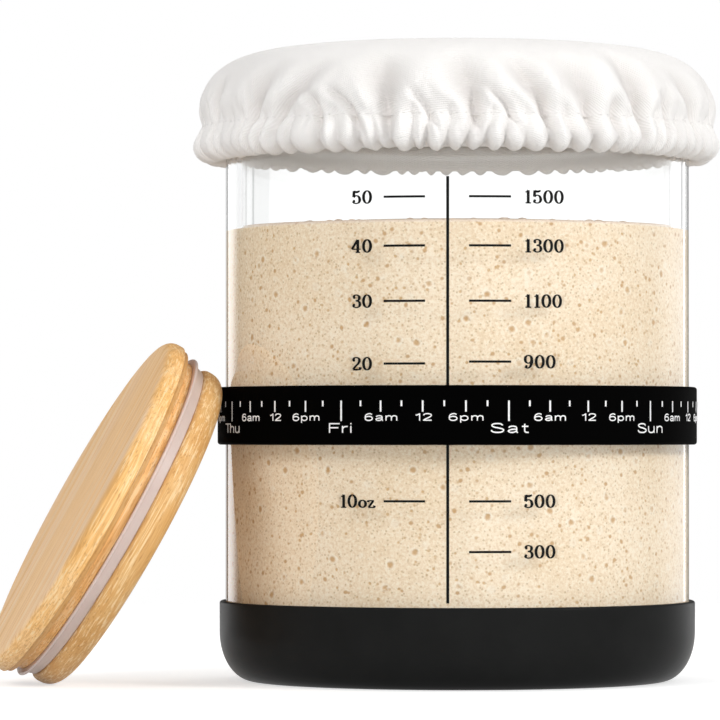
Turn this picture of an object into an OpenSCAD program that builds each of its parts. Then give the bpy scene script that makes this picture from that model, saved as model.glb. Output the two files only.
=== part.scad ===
// Sourdough starter jar, in millimetres.
// A glass jar stands in a silicone boot. Starter fills most of it, a printed band on the glass marks
// the time of the last feed, and a cloth cover is gathered round the top by its elastic hem.
// The bamboo lid, taken off, leans against the band on the left.
// The origin is on the jar's axis at the underside of the boot, and +Z is up. The front faces -Y.

/* [Glass jar] */
// Outer radius of the glass body
glass_r = 66; // [60:0.5:72]
// Thickness of the glass wall
glass_wall = 4.5; // [3:0.1:5.5]
// Thickness of the glass floor
glass_floor = 6; // [4:0.5:9]
// Radius of the round where the wall meets the foot, outside
foot_round = 9; // [7:0.5:12]
// Radius of the round where the wall meets the floor, inside
floor_round = 6; // [3:0.5:8]
// Height of the straight body wall above the foot
body_h = 148.5; // [145:0.5:170]
// Height of the shoulder between body and neck
shoulder_h = 12; // [8:0.5:14]
// Radius of the hollow curve between shoulder and neck, outside
neck_fillet = 2; // [1:0.5:3]
// Height from the shoulder's top to the rim
neck_h = 13.5; // [9:0.5:20]
// Inner radius of the mouth
mouth_r = 51; // [47:0.5:53]

/* [Silicone boot] */
// Thickness of the boot's wall at its lip
boot_wall = 1.4; // [1:0.1:2.5]
// Thickness of the boot's floor
boot_floor = 2.5; // [1.5:0.1:4]
// Height of the boot
boot_h = 22.8; // [20:0.1:35]
// Height of the outer bottom curve
boot_curve_h = 14; // [10:0.5:16]
// Width of the outer bottom curve
boot_curve_w = 9.5; // [7:0.5:10]
// Gap between the boot and the glass
boot_fit = 0.3; // [0.2:0.05:0.6]

/* [Starter] */
// Height of the starter at the glass, above the glass floor
dough_h = 120.5; // [60:0.5:135]
// Rise of the starter's middle above its edge
dough_dome = 1.5; // [1:0.5:8]
// Radius of the round at the starter's edge
dough_edge = 1.5; // [1:0.1:3]
// Gap between the starter and the glass wall
dough_fit = 0.3; // [0.2:0.05:0.6]

/* [Time band] */
// Outer radius of the band less that of the glass
band_stand = 2.3; // [1.6:0.1:4]
// Height of the band
band_h = 16; // [12:0.5:22]
// Lower edge of the band above the boot's underside, at rest
band_z = 67.4; // [40:0.1:110]
// Gap between the band and the print on the glass
band_fit = 0.3; // [0.2:0.05:0.6]
// Radius of the round on the band's edges
band_round = 0.6; // [0.2:0.1:0.8]

/* [Prints] */
// Thickness of the printed ink
ink_t = 0.15; // [0.1:0.05:0.3]
// Gap between the ink and what it is printed on
ink_gap = 0.1; // [0.05:0.05:0.2]
// Angle of one day on the band
day_angle = 39.5; // [30:0.5:45]
// Marks in one day
day_marks = 8; // [4:1:12]
// Direction of the first day's mark, from the front towards the right
first_day = -185.6; // [-200:0.1:-100]
// Length of a day's mark
long_mark = 5.6; // [4:0.1:7]
// Length of a quarter day's mark
middle_mark = 3.05; // [2:0.05:4]
// Length of the marks between
short_mark = 1.55; // [1:0.05:2]
// Distance from the band's upper edge to its marks
mark_drop = 4.1; // [2:0.1:5]
// Width of the band's marks
mark_w = 0.55; // [0.3:0.05:0.8]
// Gap between the boot's lip and the line on the glass
line_gap = 1.2; // [0.5:0.1:4]
// How far the line on the glass runs past its top marks
line_over = 5.5; // [2:0.5:9]
// Width of the line on the glass
line_w = 0.8; // [0.5:0.05:1.2]
// Thickness of the marks on the glass, up and down
glass_mark_w = 0.6; // [0.4:0.05:0.9]
// Length of the marks on the glass, round the jar
glass_mark_l = 11.6; // [8:0.1:14]
// Space between the line and the marks on its left
left_space = 5.8; // [3:0.1:8]
// Space between the line and the marks on its right
right_space = 5.4; // [3:0.1:8]

/* [Cloth cover] */
// How far the crown's widest part stands in from the hem's
crown_inset = 1.1; // [0:0.1:2.5]
// Rise of the crown's middle above the rim
crown_rise = 4.2; // [4.2:0.1:12]
// How far the seam draws the crown in
seam_pinch = 1.1; // [0:0.1:2]
// Height of the seam above the foot of the shoulder
seam_rise = 6.5; // [4:0.5:8]
// Thickness of the puckered cloth
cloth_t = 1.2; // [0.8:0.1:1.5]
// Folds round the crown
folds = 19; // [12:1:24]
// Depth of the folds at the seam
fold_depth = 1.8; // [0.6:0.1:2.2]
// Height of the gathered hem below the seam
hem_h = 9.5; // [8:0.1:14]
// Thickness of the gathered cloth outside the elastic
hem_bulk = 5.7; // [4:0.1:9]
// Ruffles round the hem
ruffles = 37; // [24:1:37]
// Depth of the ruffles
ruffle_depth = 1.4; // [0.6:0.1:1.6]
// Gap between the cover and the glass
cover_fit = 0.35; // [0.3:0.05:0.8]
// Thickness of the flat elastic
elastic_t = 1.2; // [0.8:0.1:1.6]
// Width of the flat elastic
elastic_w = 5.5; // [4:0.1:5.9]
// Gap between the elastic and its channel
elastic_fit = 0.4; // [0.3:0.05:0.6]
// Thickness of the cloth folded up inside the hem
hem_lining = 0.45; // [0.4:0.05:0.8]
// Gap between the folded edge and the seam
fold_gap = 0.4; // [0.3:0.05:0.6]
// Thickness of the fold at the hem's lower edge
hem_fold = 1; // [0.6:0.1:1.5]
// Thickness of the plies above the elastic's channel
seam_ply = 1.2; // [0.8:0.1:1.6]

/* [Bamboo lid] */
// How far the top plate reaches over the rim's inner edge
lid_over = 1; // [0.5:0.1:4.4]
// Thickness of the top plate, with its ledge
lid_t = 6.5; // [5.8:0.1:10]
// Radius of the round on the top plate's outer edge
lid_round = 3.4; // [1.5:0.1:4.5]
// Thickness of the ledge on the top plate's inner side
ledge_t = 1.4; // [0.8:0.1:2]
// How far the ledge stands back from the top plate's edge
ledge_back = 0.8; // [0.4:0.1:1.5]
// Thickness of the step below the top plate
step_t = 2.7; // [1:0.1:4]
// Depth of the seal between its hub and its lip
seal_depth = 6.7; // [4:0.1:9]
// Thickness of the seal
seal_t = 3.7; // [2:0.1:5]
// Thickness of the seal's lip, on the step's side
seal_lip = 0.9; // [0.6:0.1:1.4]
// How far the seal's outer face stands back from its lip
seal_back = 1.3; // [0.5:0.1:2]
// How much the seal's outer face narrows towards the plug plate
seal_taper = 0.9; // [0:0.1:1.5]
// Gap between the seal's lip and the mouth, when the lid is on
seal_fit = 0.3; // [0.2:0.05:0.6]
// Gap between the seal and its hub
seal_hub_gap = 0.15; // [0.1:0.05:0.3]
// Gap between the plug plate and the mouth, when the lid is on
plug_fit = 1.4; // [0.8:0.1:3]
// Gap between the step and the mouth, when the lid is on
step_fit = 2.2; // [1:0.1:4]
// Thickness of the plug plate
plug_t = 7.6; // [5:0.1:12]
// Radius of the round on the plug plate's outer edge
plug_round = 4.9; // [1.5:0.1:4.9]
// Radius of the round on the plug plate's inner edge
inner_round = 1.8; // [0.5:0.1:2.4]
// Lean of the lid from upright
lid_lean = 29; // [20:0.5:40]
// Direction in which the lid stands, from straight left towards the front
lid_turn = 11.4; // [0:0.1:30]
// Gap between the leaning lid and the print on the band
lean_gap = 0.3; // [0.2:0.05:0.6]

/* [Hidden] */
$fn = 96;
// Steps in a round corner of a turned outline
steps = 8;

boot_in = glass_r + boot_fit;
boot_r = boot_in + boot_wall;
foot_z = boot_floor;
floor_z = foot_z + glass_floor;
inside_r = glass_r - glass_wall;
shoulder_z = foot_z + body_h;
neck_z = shoulder_z + shoulder_h;
rim_z = neck_z + neck_h;
neck_r = mouth_r + glass_wall;
print_r = glass_r + ink_gap;
band_in = print_r + ink_t + band_fit;
band_r = glass_r + band_stand;
band_print_r = band_r + ink_gap;
seam_z = shoulder_z + seam_rise;
crown_h = rim_z + crown_rise - seam_z;
hem_in = glass_r + cover_fit;
hem_z = seam_z - hem_h;
channel_in = hem_in + hem_lining;
channel_out = channel_in + elastic_t + 2 * elastic_fit;
channel_low = hem_z + hem_fold;
channel_high = seam_z - seam_ply;
hem_r = channel_out + hem_bulk;
cover_r = hem_r - crown_inset;
// How far the hem's top is drawn in by the seam
hem_pinch = crown_inset + seam_pinch;
lid_r = mouth_r + lid_over;
plug_r = mouth_r - plug_fit;
step_r = mouth_r - step_fit;
seal_r = mouth_r - seal_fit;
hub_r = seal_r - seal_depth - seal_hub_gap;
// Heights along the lid's axis, from the plug plate's outer face
seal_h = plug_t;
step_h = seal_h + seal_t;
top_h = step_h + step_t;
// Marks of the volume scale, as heights above the glass foot
ounce_marks = [132.5, 119.1, 104, 86.9, 49.3];
millilitre_marks = [132.5, 119.1, 104, 87.4, 49.3, 35.5];
// The vertical line stands a little left of the front
line_angle = -2.2;

// Points on an ellipse's arc in the outline's plane
function arc(x, z, rx, rz, from, to, n = steps) =
    [for (i = [0:n]) let (a = from + (to - from) * i / n) [x + rx * cos(a), z + rz * sin(a)]];

// Angle of an arc length on a circle of radius r
function turn(length, r) = length / r * 180 / PI;

// Boot: a cup whose inside follows the glass foot, with a big round outside
module silicone_base() {
    inner = foot_round + boot_fit;
    lip = boot_wall / 2;
    color([0.08, 0.08, 0.08])
        rotate_extrude()
            polygon(concat(
                [[0, 0]],
                arc(boot_r - boot_curve_w, boot_curve_h, boot_curve_w, boot_curve_h, -90, 0, 12),
                arc(boot_r - lip, boot_h - lip, lip, lip, 0, 180),
                arc(glass_r - foot_round, foot_z + foot_round, inner, inner, 0, -asin(foot_round / inner)),
                [[0, foot_z]]));
}

// Jar: straight body, round shoulder and a short straight neck with a round rim
module glass_jar() {
    bulge = glass_r - neck_r - neck_fillet;
    rim = glass_wall / 2;
    hollow = neck_fillet + glass_wall;
    color([0.8, 0.88, 0.9, 0.45])
        rotate_extrude()
            polygon(concat(
                [[0, foot_z]],
                arc(glass_r - foot_round, foot_z + foot_round, foot_round, foot_round, -90, 0),
                arc(neck_r + neck_fillet, shoulder_z, bulge, shoulder_h, 0, 90),
                arc(neck_r + neck_fillet, neck_z + neck_fillet, neck_fillet, neck_fillet, 270, 180),
                arc(mouth_r + rim, rim_z - rim, rim, rim, 0, 180),
                arc(neck_r + neck_fillet, neck_z + neck_fillet, hollow, hollow, 180, 270),
                arc(neck_r + neck_fillet, shoulder_z, bulge - glass_wall, shoulder_h - glass_wall, 90, 0),
                arc(inside_r - floor_round, floor_z + floor_round, floor_round, floor_round, 0, -90),
                [[0, floor_z]]));
}

// Starter: fills the jar to the dough line, with a low dome on top
module starter_dough() {
    wall_r = inside_r - dough_fit;
    edge_z = floor_z + dough_h;
    color([0.93, 0.88, 0.78])
        rotate_extrude()
            polygon(concat(
                [[0, floor_z]],
                arc(inside_r - floor_round, floor_z + floor_round, floor_round - dough_fit, floor_round, -90, 0),
                arc(wall_r - dough_edge, edge_z - dough_edge, dough_edge, dough_edge, 0, 60, 3),
                [for (i = [steps - 1:-1:0]) let (x = (wall_r - dough_edge) * i / steps)
                    [x, edge_z + dough_dome * (1 - pow(x / (wall_r - dough_edge), 4))]]));
}

// One printed mark: a thin patch on a cylinder, centred on an angle from the front towards the right
module ink(r, angle, width, low, high) {
    sweep = turn(width, r);
    rotate([0, 0, angle - 90 - sweep / 2])
        rotate_extrude(angle = sweep)
            translate([r, low])
                square([ink_t, high - low]);
}

// Line and marks of the volume scale on the front of the glass
module volume_scale() {
    left = line_angle - turn(line_w / 2 + left_space + glass_mark_l / 2, print_r);
    right = line_angle + turn(line_w / 2 + right_space + glass_mark_l / 2, print_r);
    half = glass_mark_w / 2;
    color([0.05, 0.05, 0.05]) {
        ink(print_r, line_angle, line_w, boot_h + line_gap, foot_z + ounce_marks[0] + line_over);
        for (h = ounce_marks) ink(print_r, left, glass_mark_l, foot_z + h - half, foot_z + h + half);
        for (h = millilitre_marks) ink(print_r, right, glass_mark_l, foot_z + h - half, foot_z + h + half);
    }
}

// Band: a flat ring with round edges
module time_band() {
    low = band_z + band_round;
    high = band_z + band_h - band_round;
    color([0.1, 0.1, 0.1])
        rotate_extrude()
            polygon(concat(
                arc(band_in + band_round, low, band_round, band_round, 180, 270, 4),
                arc(band_r - band_round, low, band_round, band_round, -90, 0, 4),
                arc(band_r - band_round, high, band_round, band_round, 0, 90, 4),
                arc(band_in + band_round, high, band_round, band_round, 90, 180, 4)));
}

// Length of the mark with this number: long at each day, middle at each quarter of it
function mark_length(i) =
    i % day_marks == 0 ? long_mark : i % 2 == 0 ? middle_mark : short_mark;

// Seven days of marks on the band
module time_scale() {
    top = band_z + band_h - mark_drop;
    color([0.95, 0.95, 0.95])
        for (i = [0:7 * day_marks])
            ink(band_print_r, first_day + i * day_angle / day_marks, mark_w, top - mark_length(i), top);
}

// Closed skin through rings of points, from one tip to the other
module skin(tip, rings, end) {
    n = len(rings[0]);
    last = len(rings) * n + 1;
    points = concat([tip], [for (ring = rings) each ring], [end]);
    faces = concat(
        [for (j = [0:n - 1]) [0, 1 + (j + 1) % n, 1 + j]],
        [for (i = [0:len(rings) - 2], j = [0:n - 1])
            let (a = 1 + i * n + j, b = 1 + i * n + (j + 1) % n) each [[a, b, b + n], [a, b + n, a + n]]],
        [for (j = [0:n - 1]) [last, last - n + j, last - n + (j + 1) % n]]);
    polyhedron(points, faces, convexity = 6);
}

// Closed skin through sections that stand round the axis
module loop_skin(sections) {
    n = len(sections[0]);
    m = len(sections);
    polyhedron([for (s = sections) each s],
        [for (i = [0:m - 1], j = [0:n - 1])
            let (a = i * n + j, b = i * n + (j + 1) % n, c = ((i + 1) % m) * n + (j + 1) % n, d = ((i + 1) % m) * n + j)
            each [[a, b, c], [a, c, d]]],
        convexity = 6);
}

// Height of the cloth's folds at an angle, from -1 to 1
function fold_wave(a) = 0.7 * cos(folds * a) + 0.3 * cos((folds - 7) * a + 50);

// One ring of the crown: t runs from 0 at the middle to 90 at the seam, and inset goes into the cloth
function crown_ring(t, inset, columns) =
    let (r = (cover_r - inset) * sqrt(sin(t)) - seam_pinch * pow(t / 90, 8),
        z = seam_z + (crown_h - inset) * sqrt(max(cos(t), 0)))
    [for (j = [0:columns - 1])
        let (a = 360 * j / columns, d = fold_depth * pow(r / cover_r, 3) * (fold_wave(a) - 1) / 2)
        [(r + d * sin(t)) * cos(a), (r + d * sin(t)) * sin(a), z + d * cos(t)]];

// Crown of the cover: the cloth over the rim, in soft folds down to the seam
module cloth_cover() {
    columns = 4 * folds;
    outside = 8;
    inside = 5;
    color([0.96, 0.95, 0.93])
        skin([0, 0, seam_z + crown_h],
            concat(
                [for (i = [1:outside]) crown_ring(90 * i / outside, 0, columns)],
                [for (i = [inside:-1:1]) crown_ring(90 * i / inside, cloth_t, columns)]),
            [0, 0, seam_z + crown_h - cloth_t]);
}

// Outline of the hem at an angle, in the plane through the axis. The cloth is folded up inside,
// so that its outline goes round the elastic's channel and leaves a thin gap below the seam
function hem_section(a) =
    let (w = ruffle_depth * (cos(ruffles * a) - 1) / 1.5,
        fold_high = channel_high - fold_gap,
        outline = [[hem_in, seam_z], [hem_in, channel_high], [channel_out, channel_high], [channel_out, channel_low],
            [channel_in, channel_low], [channel_in, fold_high], [hem_in, fold_high], [hem_in, hem_z],
            [hem_r - hem_pinch + w, hem_z], [hem_r + 0.8 * w, hem_z + 0.55 * hem_h], [hem_r - hem_pinch + 0.4 * w, seam_z]])
    [for (p = outline) [p[0] * cos(a), p[0] * sin(a), p[1]]];

// Gathered hem: a casing round the elastic, in many small ruffles
module cover_hem() {
    columns = 3 * ruffles;
    color([0.93, 0.92, 0.9])
        loop_skin([for (i = [0:columns - 1]) hem_section(360 * i / columns)]);
}

// Flat elastic that runs in the hem
module hem_elastic() {
    color([0.85, 0.85, 0.85])
        rotate_extrude()
            translate([channel_in + elastic_fit, channel_low])
                square([elastic_t, elastic_w]);
}

// Where the lid leans: its axis runs from the plug plate's outer face up and to the left,
// the plug plate's lower edge stands on the ground and its upper edge leans on the band
module leaning() {
    flat = plug_r - plug_round;
    reach = flat * sin(lid_lean) - plug_round * cos(lid_lean) + plug_round;
    out = band_print_r + ink_t + lean_gap + reach;
    up = flat * cos(lid_lean) - plug_round * sin(lid_lean) + plug_round;
    translate([-out * cos(lid_turn), -out * sin(lid_turn), up])
        rotate([0, lid_lean - 90, lid_turn])
            children();
}

// A round plate between two heights, with its own round on each edge
module plate(r, low, high, low_round, high_round) {
    rotate_extrude()
        polygon(concat(
            [[0, low]],
            arc(r - low_round, low + low_round, low_round, low_round, -90, 0),
            arc(r - high_round, high - high_round, high_round, high_round, 0, 90),
            [[0, high]]));
}

// Top plate of the lid, which closes on the rim, with a thin ledge on its inner side
module lid_top_plate() {
    edge = 0.3;
    ledge_r = lid_r - ledge_back;
    ledge_h = top_h + ledge_t;
    color([0.86, 0.68, 0.42])
        leaning()
            rotate_extrude()
                polygon(concat(
                    [[0, top_h], [ledge_r, top_h], [ledge_r, ledge_h]],
                    arc(lid_r - edge, ledge_h + edge, edge, edge, -90, 0),
                    arc(lid_r - lid_round, top_h + lid_t - lid_round, lid_round, lid_round, 0, 90),
                    [[0, top_h + lid_t]]));
}

// Step and hub of the lid, in one piece of bamboo
module lid_step() {
    color([0.82, 0.62, 0.36])
        leaning()
            rotate_extrude()
                polygon([[0, seal_h], [hub_r, seal_h], [hub_r, step_h], [step_r, step_h], [step_r, top_h], [0, top_h]]);
}

// Seal stretched round the hub, with a thin lip that stands out past the plug plate
module lid_seal() {
    half = seal_lip / 2;
    inner = hub_r + seal_hub_gap;
    color([0.9, 0.88, 0.92])
        leaning()
            rotate_extrude()
                polygon(concat(
                    [[inner, step_h], [inner, seal_h], [seal_r - seal_back - seal_taper, seal_h],
                     [seal_r - seal_back, step_h - seal_lip]],
                    arc(seal_r - half, step_h - half, half, half, -90, 90)));
}

// Plug plate, the disc that goes down the mouth
module lid_plug_plate() {
    color([0.86, 0.68, 0.42]) leaning() plate(plug_r, 0, plug_t, plug_round, inner_round);
}

silicone_base();
glass_jar();
starter_dough();
volume_scale();
time_band();
time_scale();
cloth_cover();
cover_hem();
hem_elastic();
lid_top_plate();
lid_step();
lid_seal();
lid_plug_plate();
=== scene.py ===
import bpy
import math
import random
import numpy as np
from mathutils import Euler, Matrix, Vector


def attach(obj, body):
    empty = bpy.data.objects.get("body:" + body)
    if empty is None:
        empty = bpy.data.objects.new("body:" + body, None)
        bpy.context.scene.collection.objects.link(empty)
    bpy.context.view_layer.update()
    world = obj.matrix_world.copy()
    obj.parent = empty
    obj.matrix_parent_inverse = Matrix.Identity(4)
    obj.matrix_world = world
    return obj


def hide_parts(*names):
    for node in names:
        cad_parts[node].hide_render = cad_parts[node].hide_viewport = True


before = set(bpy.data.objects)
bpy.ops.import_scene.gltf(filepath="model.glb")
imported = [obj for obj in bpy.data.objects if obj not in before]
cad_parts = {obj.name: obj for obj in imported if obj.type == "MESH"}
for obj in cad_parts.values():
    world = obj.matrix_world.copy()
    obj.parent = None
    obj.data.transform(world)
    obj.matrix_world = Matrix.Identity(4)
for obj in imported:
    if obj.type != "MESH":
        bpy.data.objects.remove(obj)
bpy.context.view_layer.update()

mm = 0.001


def addObject(name, data):
    made = bpy.data.objects.new(name, data)
    bpy.context.scene.collection.objects.link(made)
    return made


def aimed(place, aim):
    # the turn that points a camera or a lamp at its aim
    return (Vector(aim) - Vector(place)).to_track_quat("-Z", "Y").to_euler()


# camera: level with the middle of the jar, with a long lens
view = dict(place=(0, -1.467, 0.0699), aim=(-0.0277, 0, 0.0913), lens=257)
cameraData = bpy.data.cameras.new("photoCamera")
cameraData.lens = view["lens"]
camera = addObject("photoCamera", cameraData)
camera.location = view["place"]
camera.rotation_euler = aimed(view["place"], view["aim"])
bpy.context.scene.camera = camera
bpy.context.scene.view_settings.view_transform = "Standard"
print("camera set")


# node trees

class Wire:
    # an output socket that can stand in a formula
    def __init__(self, tree, socket):
        self.tree, self.socket = tree, socket

    def __add__(self, other): return self.tree.calc("ADD", self, other)
    def __radd__(self, other): return self.tree.calc("ADD", other, self)
    def __sub__(self, other): return self.tree.calc("SUBTRACT", self, other)
    def __rsub__(self, other): return self.tree.calc("SUBTRACT", other, self)
    def __mul__(self, other): return self.tree.calc("MULTIPLY", self, other)
    def __truediv__(self, other): return self.tree.calc("DIVIDE", self, other)
    def __pow__(self, other): return self.tree.calc("POWER", self, other)
    def __mod__(self, other): return self.tree.calc("MODULO", self, other)
    def __lt__(self, other): return self.tree.calc("LESS_THAN", self, other)


class Tree:
    # a node tree that is filled by code
    def __init__(self, nodeTree, owner=None):
        self.nodes, self.links, self.owner = nodeTree.nodes, nodeTree.links, owner

    def add(self, kind, settings=None, inputs=None, output=0):
        made = self.nodes.new(kind)
        for name, value in (settings or {}).items():
            setattr(made, name, value)
        for name, value in (inputs or {}).items():
            if isinstance(value, Wire):
                self.links.new(value.socket, made.inputs[name])
            else:
                made.inputs[name].default_value = value
        return Wire(self, made.outputs[output]) if len(made.outputs) else None

    def calc(self, operation, *values):
        return self.add("ShaderNodeMath", dict(operation=operation), dict(enumerate(values)))

    def soften(self, value, low, high):
        # 0 below low, 1 above high, with a smooth rise between
        return self.add("ShaderNodeMapRange", dict(interpolation_type="SMOOTHSTEP"),
                        {"Value": value, "From Min": low, "From Max": high})

    def place(self):
        return self.add("ShaderNodeTexCoord", output="Object")

    def noise(self, place, scale, detail=3.0, rough=0.5, output=0):
        return self.add("ShaderNodeTexNoise", None,
                        {"Vector": place, "Scale": scale, "Detail": detail, "Roughness": rough}, output)

    def blend(self, share, first, second):
        # colour mix
        inputs = {0: share, 6: opaque(first), 7: opaque(second)}
        return self.add("ShaderNodeMix", dict(data_type="RGBA"), inputs, 2)

    def parts(self, vector):
        node = self.add("ShaderNodeSeparateXYZ", None, {0: vector}).socket.node
        return [Wire(self, output) for output in node.outputs]

    def joined(self, x, y, z):
        return self.add("ShaderNodeCombineXYZ", None, {0: x, 1: y, 2: z})

    def bump(self, height, strength, reach, under=None):
        inputs = {"Height": height, "Strength": strength, "Distance": reach}
        if under:
            inputs["Normal"] = under
        return self.add("ShaderNodeBump", None, inputs)


def opaque(colour):
    return (*colour, 1) if isinstance(colour, tuple) and len(colour) == 3 else colour


def scaled(colour, share, more=0.0):
    return tuple(min(c * share + more, 1) for c in colour)


def principled(tree, **inputs):
    named = {name.replace("_", " "): opaque(value) if "Color" in name else value
             for name, value in inputs.items()}
    return tree.add("ShaderNodeBsdfPrincipled", None, named)


def startFinish(name):
    material = bpy.data.materials.new(name)
    material.use_nodes = True
    material.node_tree.nodes.clear()
    return Tree(material.node_tree, material)


def endFinish(tree, shader=None, **inputs):
    tree.add("ShaderNodeOutputMaterial", None, {"Surface": shader or principled(tree, **inputs)})
    return tree.owner


# mesh helpers, in millimetres

def arc(x, z, rx, rz, start, end, steps=16):
    return [(x + rx * math.cos(math.radians(start + (end - start) * i / steps)),
             z + rz * math.sin(math.radians(start + (end - start) * i / steps))) for i in range(steps + 1)]


def corner(x, z, radius, start, end, steps=16):
    return arc(x, z, radius, radius, start, end, steps)


def steadied(outline, closed=False, near=0.35):
    # extra points close to the ends of long stretches keep flats flat under smooth shading
    done = []
    pairs = list(zip(outline, outline[1:] + outline[:1]))
    for (r, z), (r2, z2) in pairs if closed else pairs[:-1]:
        done.append((r, z))
        long = math.hypot(r2 - r, z2 - z)
        if long > 4 * near:
            for share in (near / long, 1 - near / long):
                done.append((r + (r2 - r) * share, z + (z2 - z) * share))
    return done if closed else done + [outline[-1]]


def turned(outline, columns=256, closed=False, place=Matrix()):
    # a surface of revolution, as points and faces
    points, faces, rows = [], [], []
    turns = [(math.cos(math.tau * j / columns), math.sin(math.tau * j / columns)) for j in range(columns)]
    for r, z in outline:
        if r < 1e-6:
            rows.append([len(points)])
            points.append(place @ Vector((0, 0, z)))
        else:
            rows.append(range(len(points), len(points) + columns))
            points += [place @ Vector((r * c, r * s, z)) for c, s in turns]
    for low, high in zip(rows, rows[1:] + rows[:1] if closed else rows[1:]):
        for j in range(columns):
            k = (j + 1) % columns
            if len(low) == 1:
                faces.append((low[0], high[k], high[j]))
            elif len(high) == 1:
                faces.append((low[j], low[k], high[0]))
            else:
                faces.append((low[j], low[k], high[k], high[j]))
    return points, faces


def makeMesh(name, points, faces, finish=None, edges=()):
    mesh = bpy.data.meshes.new(name)
    mesh.from_pydata([Vector(p) * mm for p in points], edges, faces)
    if finish:
        mesh.materials.append(finish)
    return mesh


def finishPiece(name, mesh, body, nodes, smooth=True):
    mesh.polygons.foreach_set("use_smooth", [smooth] * len(mesh.polygons))
    piece = addObject(name, mesh)
    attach(piece, body)
    if nodes:
        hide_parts(*nodes)
    return piece


def makePiece(name, points, faces, finish, body, nodes, slot, smooth=True):
    return finishPiece(name, makeMesh(name, points, faces, finish), body, nodes, smooth)


class Growth(Tree):
    # a geometry node group with one named input for each size
    def __init__(self, name, sizes):
        group = bpy.data.node_groups.new(name, "GeometryNodeTree")
        super().__init__(group, group)
        self.name, self.sizes, self.keys = name, sizes, {}
        for way in ("INPUT", "OUTPUT"):
            group.interface.new_socket("Geometry", in_out=way, socket_type="NodeSocketGeometry")
        for label, value in sizes.items():
            kind = "NodeSocketInt" if isinstance(value, int) else "NodeSocketFloat"
            self.keys[label] = group.interface.new_socket(label, in_out="INPUT", socket_type=kind).identifier
        entry = self.add("NodeGroupInput").socket.node
        self.given = {label: Wire(self, entry.outputs[label]) for label in ("Geometry", *sizes)}

    def grown(self, result, finish, start=None):
        # ends the group, runs it on a host object and gives back the plain mesh
        solid = self.add("GeometryNodeRealizeInstances", None, {0: result})
        painted = self.add("GeometryNodeSetMaterial", None, {"Geometry": solid, "Material": finish})
        self.add("NodeGroupOutput", None, {"Geometry": painted})
        start = start or bpy.data.meshes.new(self.name)
        host = addObject(self.name, start)
        modifier = host.modifiers.new(self.name, "NODES")
        modifier.node_group = self.owner
        for label, value in self.sizes.items():
            modifier[self.keys[label]] = value
        bpy.context.view_layer.update()
        mesh = bpy.data.meshes.new_from_object(host.evaluated_get(bpy.context.evaluated_depsgraph_get()))
        bpy.data.objects.remove(host)
        bpy.data.meshes.remove(start)
        return mesh


# glass jar

jar = dict(radius=66, wall=4.5, footZ=2.5, floorZ=8.5, footRound=9, floorRound=6, shoulderZ=151, shoulderH=12,
           fillet=2, rimZ=176.5, mouth=51)


def glassFinish():
    tree = startFinish("clearGlass")
    shader = principled(tree, Base_Color=(0.993, 0.998, 0.996), Roughness=0.0, IOR=1.5,
                        Transmission_Weight=1.0)
    clear = tree.add("ShaderNodeBsdfTransparent", None, {"Color": (0.99, 0.993, 0.991, 1)})
    # lamps and scattered light pass straight through, so that what is inside is lit
    for ray in ("Is Shadow Ray", "Is Diffuse Ray"):
        share = tree.add("ShaderNodeLightPath", output=ray)
        shader = tree.add("ShaderNodeMixShader", None, {0: share, 1: shader, 2: clear})
    return endFinish(tree, shader)


def makeGlass():
    g = jar
    neck = g["mouth"] + g["wall"]
    bulge = g["radius"] - neck - g["fillet"]
    throat = neck + g["fillet"], g["shoulderZ"] + g["shoulderH"] + g["fillet"]
    rim = g["wall"] / 2
    foot, floor = g["footRound"], g["floorRound"]
    outline = ([(0, g["footZ"])]
               + corner(g["radius"] - foot, g["footZ"] + foot, foot, -90, 0)
               + arc(throat[0], g["shoulderZ"], bulge, g["shoulderH"], 0, 90)
               + corner(*throat, g["fillet"], 270, 180, 8)
               + corner(g["mouth"] + rim, g["rimZ"] - rim, rim, 0, 180)
               + corner(*throat, g["fillet"] + g["wall"], 180, 270)
               + arc(throat[0], g["shoulderZ"], bulge - g["wall"], g["shoulderH"] - g["wall"], 90, 0)
               + corner(g["radius"] - g["wall"] - floor, g["floorZ"] + floor, floor, 0, -90)
               + [(0, g["floorZ"])])
    makePiece("jar_glass", *turned(steadied(outline)), glassFinish(), "jar", ["glass_jar"], "glass")


makeGlass()
print("glass jar done")


# silicone boot

boot = dict(wall=1.4, floor=2.5, height=22.8, curveH=14, curveW=9.5, fit=0.3,
            finish=dict(colour=(0.0125, 0.0128, 0.0126), rough=0.34, shine=0.03, grain=2600, relief=0.00004))


def rubberFinish(name, colour, rough, shine, grain, relief):
    tree = startFinish(name)
    place = tree.place()
    dust = tree.noise(place, 90, 4)
    fine = tree.noise(place, grain, 2)
    return endFinish(tree, Base_Color=tree.blend(dust, scaled(colour, 0.8), scaled(colour, 1.25)),
                     Roughness=rough - 0.06 + dust * 0.12, Specular_IOR_Level=shine,
                     Normal=tree.bump(fine, 0.35, relief))


def makeBoot():
    b, g = boot, jar
    outer = g["radius"] + b["fit"] + b["wall"]
    lip = b["wall"] / 2
    inner = g["footRound"] + b["fit"]
    tail = -math.degrees(math.asin(g["footRound"] / inner))
    outline = ([(0, 0)]
               + arc(outer - b["curveW"], b["curveH"], b["curveW"], b["curveH"], -90, 0, 24)
               + corner(outer - lip, b["height"] - lip, lip, 0, 180, 10)
               + corner(g["radius"] - g["footRound"], g["footZ"] + g["footRound"], inner, 0, tail)
               + [(0, b["floor"])])
    finish = rubberFinish("bootSilicone", **b["finish"])
    makePiece("boot_shell", *turned(steadied(outline)), finish, "base", ["silicone_base"], "silicone")


makeBoot()
print("boot done")


# starter dough

dough = dict(radius=61.56, low=8.55, edgeZ=129.0, rise=1.4, edgeRound=1.3, bottomRound=5.7,
             smear=(0.1279, 0.1286), blisterR=56, blisterSink=0.7, blisters=60000.0, smallest=0.0003,
             largest=0.0017, seed=7)


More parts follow.
